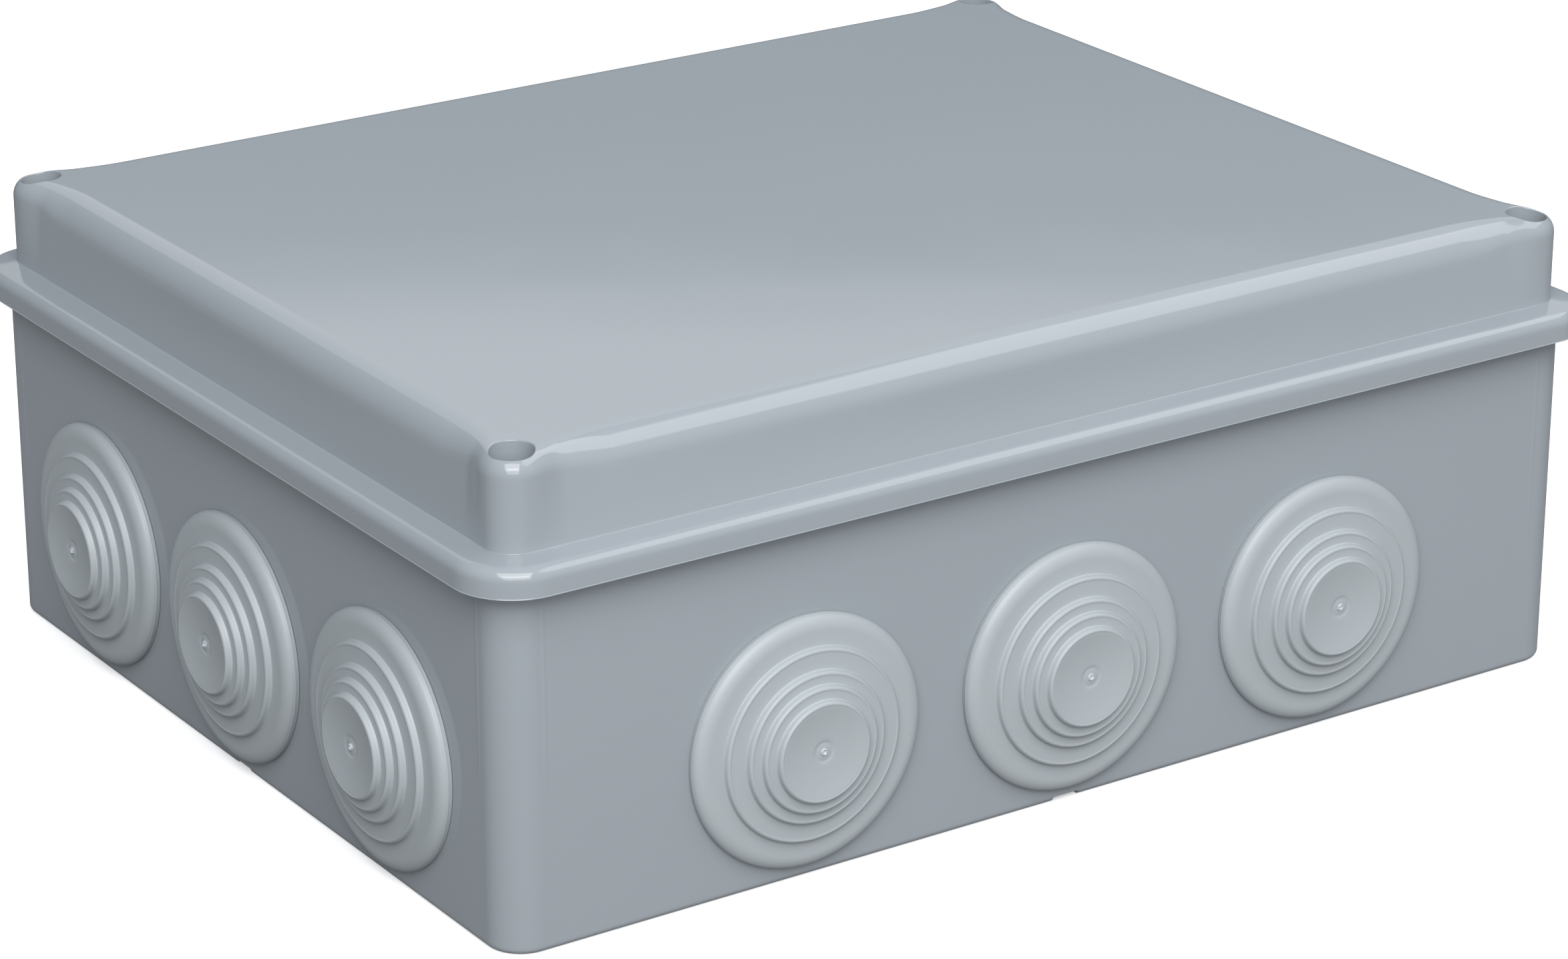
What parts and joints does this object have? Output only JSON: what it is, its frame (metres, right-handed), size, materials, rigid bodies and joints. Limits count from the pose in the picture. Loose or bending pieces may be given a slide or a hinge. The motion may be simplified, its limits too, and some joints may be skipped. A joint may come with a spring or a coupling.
{
  "type": "electrical junction box",
  "caption": "Rectangular surface junction box with a deep base, stepped cable grommets in every side wall and a lift-off lid held by corner screws.",
  "frame": {"origin": "centre of the base's underside, on the surface the box is fixed to", "axes": "+X along the length, +Y along the width towards the back wall, +Z out of the wall through the lid"},
  "size_m": [0.2454, 0.2004, 0.088],
  "materials": {
    "shell": "glossy moulded plastic, bluish light grey",
    "grommet": "satin soft plastic, light grey",
    "seal": "matt black foam rubber",
    "screw": "bright zinc plate",
    "cap": "satin moulded plastic, light grey"
  },
  "bodies": {
    "base": {"base": "shell", "grommet_front_1": "grommet", "grommet_front_2": "grommet", "grommet_front_3": "grommet", "grommet_right_1": "grommet", "grommet_right_2": "grommet", "grommet_right_3": "grommet", "grommet_back_1": "grommet", "grommet_back_2": "grommet", "grommet_back_3": "grommet", "grommet_left_1": "grommet", "grommet_left_2": "grommet", "grommet_left_3": "grommet", "fixing_cap_1": "cap", "fixing_cap_2": "cap", "fixing_cap_3": "cap", "fixing_cap_4": "cap"},
    "lid": {"lid": "shell", "lid_gasket": "seal"},
    "seal_1": {"screw_seal_1": "seal"},
    "screw_1": {"lid_screw_1": "screw"},
    "seal_2": {"screw_seal_2": "seal"},
    "screw_2": {"lid_screw_2": "screw"},
    "seal_3": {"screw_seal_3": "seal"},
    "screw_3": {"lid_screw_3": "screw"},
    "seal_4": {"screw_seal_4": "seal"},
    "screw_4": {"lid_screw_4": "screw"}
  },
  "joints": [
    {"name": "lid_lift", "type": "slide", "parent": "base", "child": "lid", "axis": [0, 0, 1], "range_m": [0, 0.12]},
    {"name": "screw_rise_1", "type": "slide", "parent": "lid", "child": "seal_1", "axis": [0, 0, 1], "range_m": [0, 0.014]},
    {"name": "screw_turn_1", "type": "hinge", "parent": "seal_1", "child": "screw_1", "pos_m": [-0.1087, -0.0862, 0.0707], "axis": [0, 0, 1], "range_deg": [0, 2881]},
    {"name": "screw_rise_2", "type": "slide", "parent": "lid", "child": "seal_2", "axis": [0, 0, 1], "range_m": [0, 0.014]},
    {"name": "screw_turn_2", "type": "hinge", "parent": "seal_2", "child": "screw_2", "pos_m": [0.1087, -0.0862, 0.0707], "axis": [0, 0, 1], "range_deg": [0, 2881]},
    {"name": "screw_rise_3", "type": "slide", "parent": "lid", "child": "seal_3", "axis": [0, 0, 1], "range_m": [0, 0.014]},
    {"name": "screw_turn_3", "type": "hinge", "parent": "seal_3", "child": "screw_3", "pos_m": [0.1087, 0.0862, 0.0707], "axis": [0, 0, 1], "range_deg": [0, 2881]},
    {"name": "screw_rise_4", "type": "slide", "parent": "lid", "child": "seal_4", "axis": [0, 0, 1], "range_m": [0, 0.014]},
    {"name": "screw_turn_4", "type": "hinge", "parent": "seal_4", "child": "screw_4", "pos_m": [-0.1087, 0.0862, 0.0707], "axis": [0, 0, 1], "range_deg": [0, 2881]}
  ],
  "couplings": [
    {"joint": "screw_turn_1", "follows": "screw_rise_1", "rad_per_m": 3590.4},
    {"joint": "screw_turn_2", "follows": "screw_rise_2", "rad_per_m": 3590.4},
    {"joint": "screw_turn_3", "follows": "screw_rise_3", "rad_per_m": 3590.4},
    {"joint": "screw_turn_4", "follows": "screw_rise_4", "rad_per_m": 3590.4}
  ]
}
